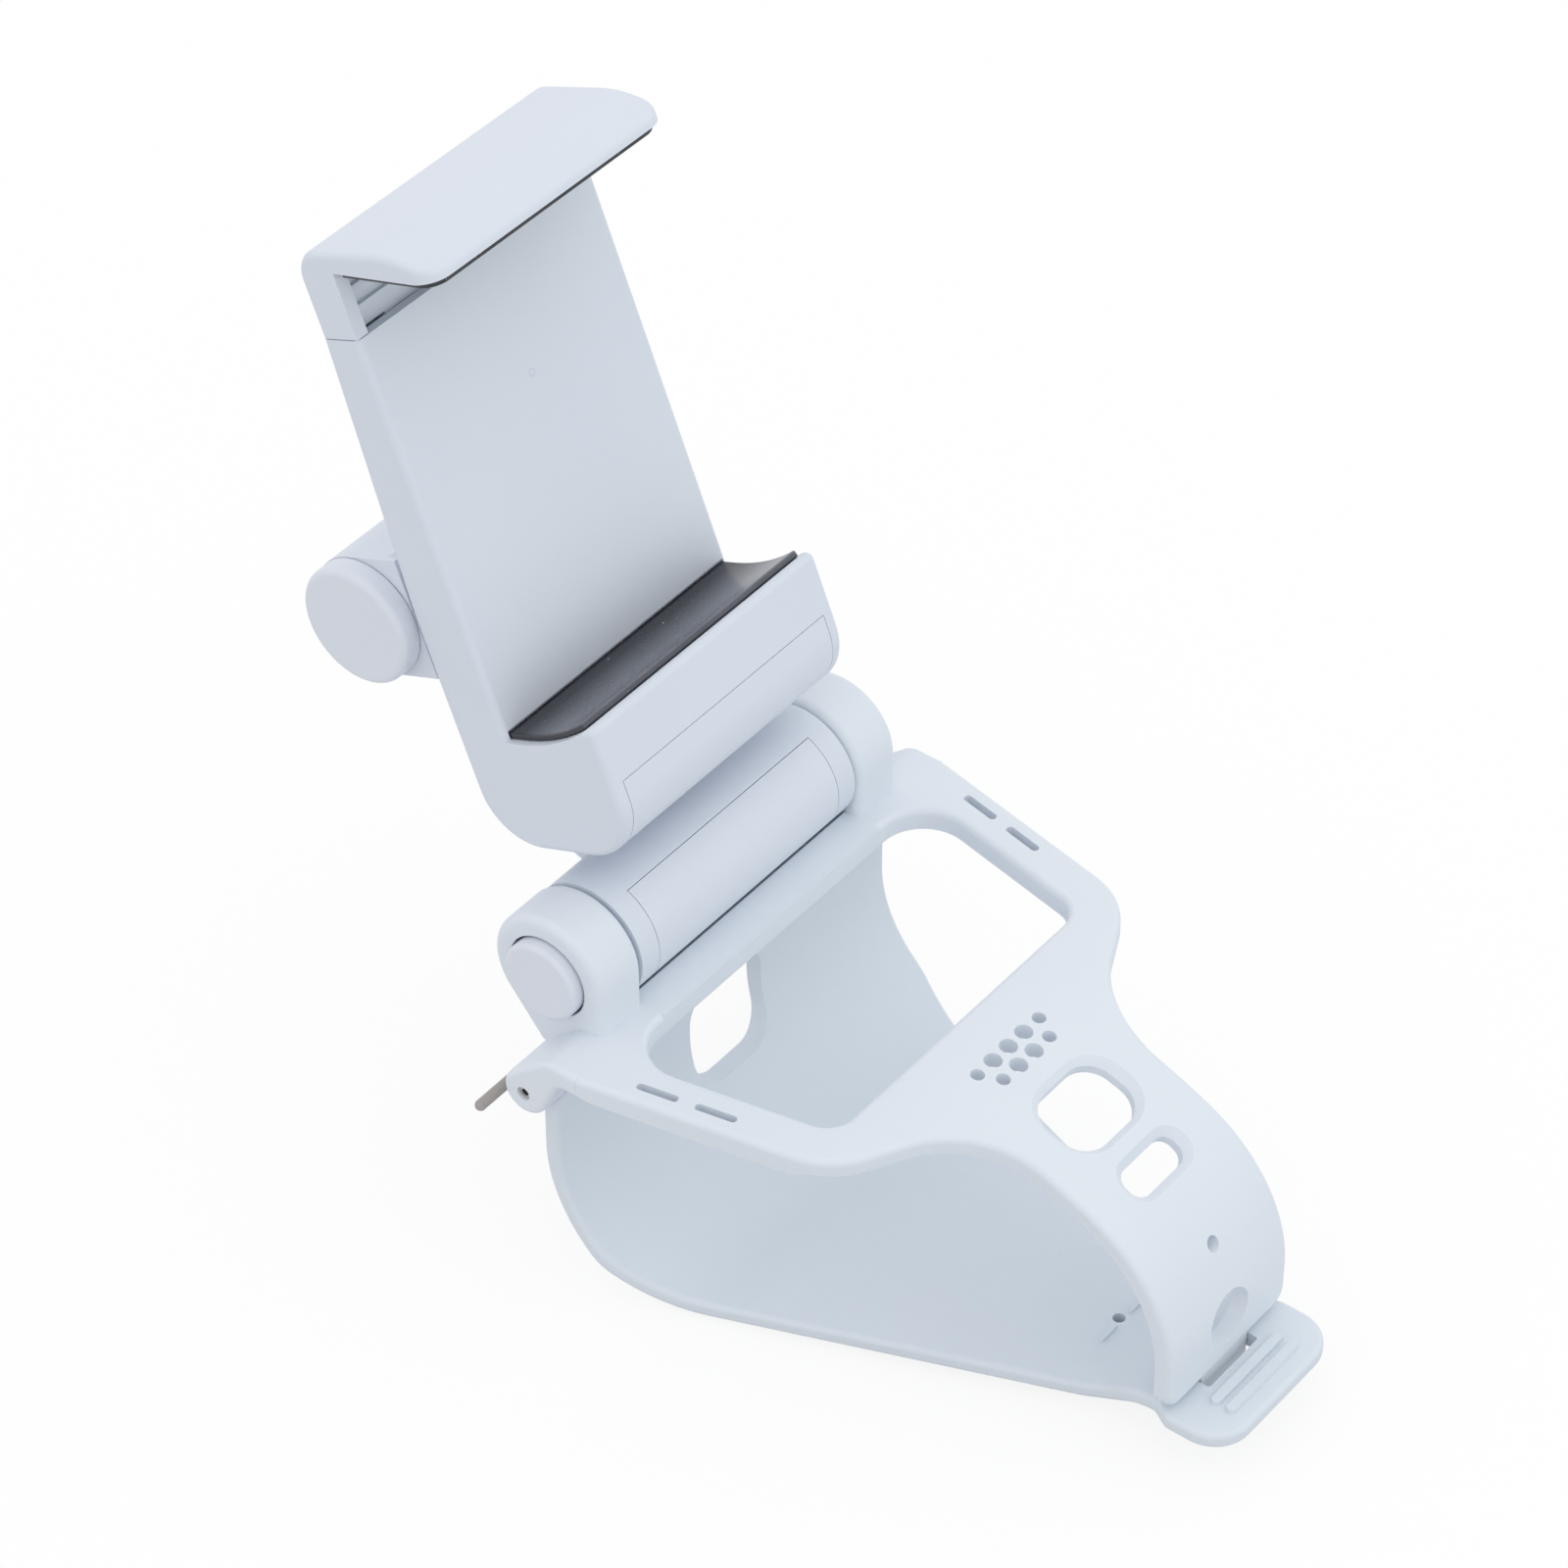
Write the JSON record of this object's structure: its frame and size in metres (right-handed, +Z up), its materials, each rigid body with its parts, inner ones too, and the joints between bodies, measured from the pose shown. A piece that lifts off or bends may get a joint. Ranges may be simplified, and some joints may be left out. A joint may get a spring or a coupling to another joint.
{
  "type": "game controller phone clip",
  "caption": "Clip that closes round a game controller and holds a phone above it in a sprung clamp on a locking, tilting arm.",
  "frame": {"origin": "on the middle plane, on the face frame's top face, level with the middle between the light slots", "axes": "+X to the player's right, +Y from the nose to the hinges, +Z up from the controller's face"},
  "size_m": [0.083, 0.137, 0.1412],
  "materials": {
    "white_plastic": "fine satin moulding",
    "steel": "bright",
    "dark_rubber": "smooth",
    "grey_rubber": "matte"
  },
  "bodies": {
    "frame": {"controller_frame": "white_plastic", "cradle_pin_left": "steel", "cradle_pin_right": "steel", "hinge_spindle": "white_plastic"},
    "cradle": {"cradle_shell": "white_plastic", "rear_bumper": "grey_rubber"},
    "arm": {"arm_housing": "white_plastic", "arm_cover": "white_plastic", "barrel_cover": "white_plastic", "arm_screws": "steel", "button_spring": "steel"},
    "button": {"push_button": "white_plastic", "lock_ring": "white_plastic"},
    "clamp": {"clamp_housing": "white_plastic", "clamp_back_cover": "white_plastic", "clamp_screws": "steel", "ledge_cover": "white_plastic", "ledge_pad": "dark_rubber", "hinge_cap_left": "white_plastic", "hinge_cap_right": "white_plastic", "hinge_bolt": "steel", "hinge_nut": "steel", "friction_washers": "dark_rubber", "jaw_springs": "steel"},
    "jaw": {"sliding_jaw": "white_plastic", "jaw_pad": "dark_rubber"}
  },
  "joints": [
    {"name": "cradle_hinge", "type": "hinge", "parent": "frame", "child": "cradle", "pos_m": [0, 0.0221, -0.0075], "axis": [1, 0, 0], "range_deg": [0, 50]},
    {"name": "arm_hinge", "type": "hinge", "parent": "frame", "child": "arm", "pos_m": [0, 0.0242, 0.0058], "axis": [1, 0, 0], "range_deg": [-30, 60]},
    {"name": "button_press", "type": "slide", "parent": "arm", "child": "button", "axis": [1, 0, 0], "range_m": [0, 0.0018], "stiffness_N_per_m": 600, "springref_m": -0.002, "deforming": ["button_spring"]},
    {"name": "clamp_tilt", "type": "hinge", "parent": "arm", "child": "clamp", "pos_m": [0, 0.05927, 0.04087], "axis": [1, 0, 0], "range_deg": [-75, 5]},
    {"name": "jaw_slide", "type": "slide", "parent": "clamp", "child": "jaw", "axis": [0, 0.3746, 0.9272], "range_m": [0, 0.026], "stiffness_N_per_m": 120, "springref_m": -0.03, "deforming": ["jaw_springs"]}
  ]
}
